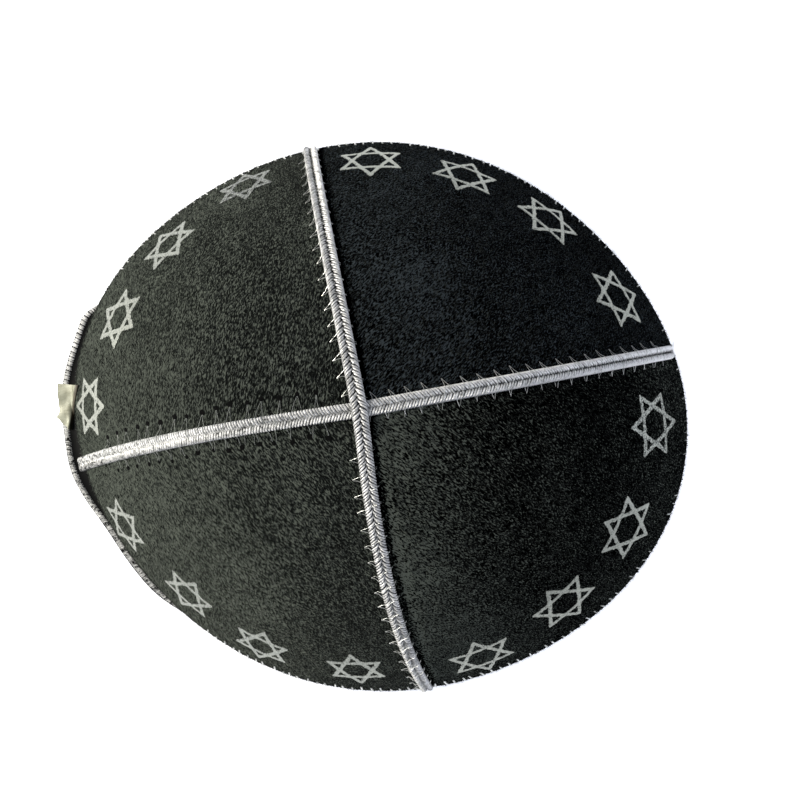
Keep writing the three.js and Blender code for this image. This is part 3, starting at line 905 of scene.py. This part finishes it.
def makeRimBraid():
    bm = bmesh.new()
    tone = bm.verts.layers.float.new("tone")
    hoop = 3  # radius of the plain ring, which is then laid along the edge
    bmesh.ops.create_circle(bm, segments=16, radius=1)
    bmesh.ops.rotate(bm, verts=bm.verts[:], cent=(0, 0, 0), matrix=Matrix.Rotation(math.pi / 2, 3, "X"))
    bmesh.ops.translate(bm, verts=bm.verts[:], vec=(hoop, 0, 0))
    bmesh.ops.spin(bm, geom=bm.verts[:] + bm.edges[:], cent=(0, 0, 0), axis=(0, 0, 1), angle=2 * math.pi,
                   steps=rim["rings"], use_merge=True)

    def place(points):
        direction = np.degrees(np.arctan2(points[:, 1], points[:, 0]))
        across = np.clip(np.hypot(points[:, 0], points[:, 1]) - hoop, -1, 1)
        thick = (0.35 + 0.55 * np.abs(np.sin(np.pi * across)) ** 0.7) * rim["thickness"] / 2
        up = np.sign(points[:, 2]) * thick * np.minimum(np.abs(points[:, 2]) * 2.5, 1)
        # where it is rolled out, the inner cord goes on under the edge of the suede and up against it
        rolled = flare(direction) * (across < -0.05)
        pull = swell(direction, tab["direction"], tab["reach"])
        wide = rim["width"] / 2 + np.where(across > 0, 0.1, -0.2)
        wide = wide + rolled * (rim["under"] + rimSwing(direction) + tab["pullOut"] * pull)
        rise = smoothStep(-across, 0.55, 1.0)
        up = up + rolled * ((rim["against"] + tab["pullDown"] * pull) * rise - rim["sag"] * (1 - rise))
        return aboveFloor(inRim(direction, across * wide, up), 0.15)

    for v in bm.verts:  # painted shade: the core is near black in the gaps, under the suede's edge and along its outer side; lighter under the outer cord, lightest below the tab
        below = smoothStep(math.degrees(math.atan2(v.co.y, v.co.x)) % 360, 169, 174)
        v[tone] = -0.7 + 0.9 * below if hoop + 0.05 < v.co.xy.length < hoop + 0.9 else -1.6
    moveVerts(bm.verts[:], place)
    addPiece("rim_braid_core", meshFrom(bm, "rim_braid_core"), [yarnRim], ["rim_braid"], 60)
    # two strands lie side by side in each rib
    ribs = int(round(2 * math.pi * dome["edgeReach"] / rim["pitch"]))
    start = (np.arange(ribs)[:, None] + np.array([-0.2, 0.2])).reshape(-1, 1) * 360 / ribs
    start = start + 0.03 * rng.standard_normal(start.shape)
    for sign, side, steps in ((-1, "inner", 8), (1, "outer", 11)):
        turn = 2 * np.pi * np.linspace(0, 0.98, steps)[None] + np.pi / 2 * (1 + sign)
        direction = start + sign * np.linspace(-0.3, 0.3, steps)[None] * 360 / ribs
        rolled = flare(direction) if sign < 0 else 0
        out = sign * rim["width"] / 4 - 1.6 * rolled + (rim["width"] / 4 - 0.15) * np.cos(turn) + 0 * start
        up = (rim["thickness"] / 2 - 0.2) * np.sin(turn) - 1.2 * rolled
        path = aboveFloor(inRim(direction, out, up), rim["strandRadius"])
        # painted shade: the inner cord turns dark where it is rolled out under the suede's edge
        tones = rng.random(start.shape) - 1.6 * rolled
        if sign > 0:  # painted shade along the outer side; darker from about 157 degrees and again from the tab on
            tones = tones + 0.3 - 1.3 * smoothStep(np.cos(turn), 0.8, 1)
            tones = tones - 0.5 * smoothStep(direction, 157, 161) - 0.5 * smoothStep(direction, 169, 174)
        name = "rim_braid_" + side
        mesh = threadMesh(name, path, rim["strandRadius"], tones)
        addPiece(name, mesh, [yarnRim], ["rim_braid"], 60)


makeRimBraid()


# overcast stitches that sew it on, over the cut edge of the suede
# they are thinner, further apart and darker towards the right
overcast = {"pitch": 2.9, "radius": 0.25, "in": 2.2, "hidden": (140, 222), "shifted": (-12, 70)}


def makeOvercast():
    count = int(2 * math.pi * dome["edgeReach"] / overcast["pitch"])
    direction = np.arange(count) * 360 / count + 0.25 * rng.standard_normal(count)
    direction = direction[(direction < overcast["hidden"][0]) | (direction > overcast["hidden"][1])]
    direction = direction[rng.random(len(direction)) > 0.45 * swell(direction, *overcast["shifted"])]
    shifted = swell(direction, *overcast["shifted"])[:, None]
    n = len(direction)
    length = meridian(direction)[2][:, None]
    inward = overcast["in"] * (1 - 0.3 * shifted) * (1 + 0.22 * rng.standard_normal((n, 1)))
    a = np.array([-1, -0.94, -0.6, -0.25, 0, 0, 0, 0])[None] * inward
    a = a + np.array([0, 0, 0, 0, 0.02, 0.2, 0.2, 0.05])[None]
    height = np.array([-0.3, 0.04, 0.12, 0.12, 0.06, -0.35, -1.1, -1.75])[None]
    lean = np.linspace(-0.5, 0.5, 8)[None] * (0.9 + 0.4 * rng.standard_normal((n, 1)))
    path = onDome(direction[:, None] + np.degrees(lean / dome["edgeReach"]), 1 + a / length, height)
    tones = rng.random((n, 1)) - 0.7 * shifted
    radius = overcast["radius"] * (1 - 0.5 * shifted)
    mesh = threadMesh("overcast_stitches", aboveFloor(path, 0.15), radius, tones)
    addPiece("overcast_stitches", mesh, [threadSilver])


makeOvercast()
print("rim braid made")


# satin tab folded over the joint of the rim braid
def makeTab():
    bm = bmesh.new()
    bmesh.ops.create_grid(bm, x_segments=tab["columns"], y_segments=tab["rows"], size=0.5)
    outer = bm.verts[:]
    places = np.array([v.co for v in outer], float) + 0.5
    thick = bmesh.ops.extrude_face_region(bm, geom=bm.faces[:])
    inner = [v for v in thick["geom"] if isinstance(v, bmesh.types.BMVert)]
    half = rim["width"] / 2
    clear = rim["thickness"] / 2 + tab["gap"] + tab["thickness"] / 2
    knots = np.array([0, 0.16, 0.33, 0.5, 0.67, 0.82, 1.0])
    fine = np.linspace(0, 1, 121)

    # smooth run through the knots, from the hidden leaf round the braid to the free end on top
    def spline(values):
        m = np.gradient(values, knots)
        k = np.clip(np.searchsorted(knots, fine, "right") - 1, 0, len(knots) - 2)
        h = knots[k + 1] - knots[k]
        t = (fine - knots[k]) / h
        return ((2 * t ** 3 - 3 * t ** 2 + 1) * values[k] + (t ** 3 - 2 * t ** 2 + t) * h * m[k]
                + (-2 * t ** 3 + 3 * t ** 2) * values[k + 1] + (t ** 3 - t ** 2) * h * m[k + 1])

    def place(points, offset):
        x, y = points[:, 0] + 0.5, points[:, 1] + 0.5
        overhang = tab["overhang"][0] + (tab["overhang"][1] - tab["overhang"][0]) * x
        ragged = 0.2 * np.sin(9 * x + 1) + 0.08 * np.sin(31 * x) + 0.9 * np.exp(-((x - 0.72) / 0.05) ** 2)
        ragged = ragged - 1.5 * smoothStep(x, 0.78, 1)
        base = spline(np.array([half + tab["lowerLeaf"], 0, -half, -half - clear, -half, 0, half]))
        rise = spline(np.array([-clear, -clear, -clear, 0, clear, clear, clear]))
        out = np.interp(y, fine, base)
        out = np.where(out < 0, out * (1.75 - 1.59 * x), out) + (overhang + ragged) * smoothStep(y, 0.8, 1)
        up = np.interp(y, fine, rise) + 1.75 * np.maximum(0, -out - 1.9)  # over the edge of the suede
        grade = np.stack([np.interp(y, fine, np.gradient(base)), np.interp(y, fine, np.gradient(rise))], 1)
        grade = unit(grade)
        wrinkle = 0.22 * np.sin(7 * x + 5 * y) * np.sin(3 * x + 1) + 0.1 * np.sin(15 * x - 9 * y)
        shift = offset + wrinkle * smoothStep(y, 0.5, 0.8)
        direction = tab["direction"] + np.degrees((x - 0.5) * tab["width"] / dome["halfLength"])
        return aboveFloor(inRim(direction, out - grade[:, 1] * shift, up + grade[:, 0] * shift), 0.2)

    moveVerts(inner, lambda points: place(points, -tab["thickness"] / 2))
    moveVerts(outer, lambda points: place(points, tab["thickness"] / 2))
    flat = bm.loops.layers.uv.new("ribbon")
    spot = {v: p for v, p in zip(outer + inner, [*places, *places])}
    for f in bm.faces:
        for loop in f.loops:
            loop[flat].uv = (spot[loop.vert][0] * tab["width"], spot[loop.vert][1] * satinLook["length"])
    ribbon = addPiece("satin_tab", meshFrom(bm, "satin_tab"), [satinPearl], ["joint_tab"], 60)


makeTab()
print("tab made")


# White paper, matt. Some light of its own keeps it white under the low key light.
def makeFloor():
    bm = bmesh.new()
    bmesh.ops.create_grid(bm, x_segments=1, y_segments=1, size=3000)
    bmesh.ops.translate(bm, verts=bm.verts[:], vec=(0, 0, -0.2))
    mesh = meshFrom(bm, "floor")
    mesh.transform(Matrix.Scale(mm, 4))
    floor = bpy.data.objects.new("floor", mesh)
    bpy.context.scene.collection.objects.link(floor)
    paper = newMaterial("white paper floor", {
        "Base Color": toLinear("#f6f6f4"), "Roughness": 0.9,
        "Emission Color": toLinear("#f2f6ff"), "Emission Strength": 0.8})[0]
    mesh.materials.append(paper)


studio = {
    "world": ("#e8eeff", 0.22),
    # place in mm, aim, size in mm, watts, colour
    "key": ((-360, 105, 245), (0, 0, 20), 220, 2.8, "#fffaf0"),
    "fill": ((430, -80, 230), (0, 0, 20), 400, 1.2, "#eef2ff"),
}


def makeLight(name, place, aim, size, watts, code):
    lamp = bpy.data.lights.new(name, "AREA")
    lamp.size = size * mm
    lamp.energy = watts
    lamp.color = toLinear(code)[:3]
    light = bpy.data.objects.new(name, lamp)
    bpy.context.scene.collection.objects.link(light)
    light.location = Vector(place) * mm
    light.rotation_euler = (Vector(aim) - Vector(place)).to_track_quat("-Z", "Y").to_euler()


shot = {
    "target": (8.95, 2.86, 0.0), "lean": (2.081, -2.64), "roll": -10.609, "distance": 350,  # mm and degrees
    "focalPixels": 1203.5, "imagePixels": 800, "sensor": 36,
}


def makeCamera():
    toward = Vector([math.tan(math.radians(lean)) for lean in shot["lean"]] + [1]).normalized()
    roll = math.radians(shot["roll"])
    right = Vector((-math.sin(roll), math.cos(roll), 0)).cross(toward).normalized()
    up = toward.cross(right)
    lens = bpy.data.cameras.new("camera")
    lens.sensor_width = shot["sensor"]
    lens.lens = shot["focalPixels"] / shot["imagePixels"] * shot["sensor"]
    lens.clip_start, lens.clip_end = 0.01, 10
    camera = bpy.data.objects.new("camera", lens)
    bpy.context.scene.collection.objects.link(camera)
    turn = Matrix((right, up, toward)).transposed().to_4x4()
    place = (Vector(shot["target"]) + toward * shot["distance"]) * mm
    camera.matrix_world = Matrix.Translation(place) @ turn
    bpy.context.scene.camera = camera


makeFloor()
makeLight("key", *studio["key"])
makeLight("fill", *studio["fill"])
world = bpy.data.worlds.new("studio")
world.use_nodes = True
sky = world.node_tree.nodes["Background"]
sky.inputs["Color"].default_value = toLinear(studio["world"][0])
sky.inputs["Strength"].default_value = studio["world"][1]
bpy.context.scene.world = world
makeCamera()
view = bpy.context.scene.view_settings
view.view_transform = "Standard"
view.look = "None"
print("stage made")
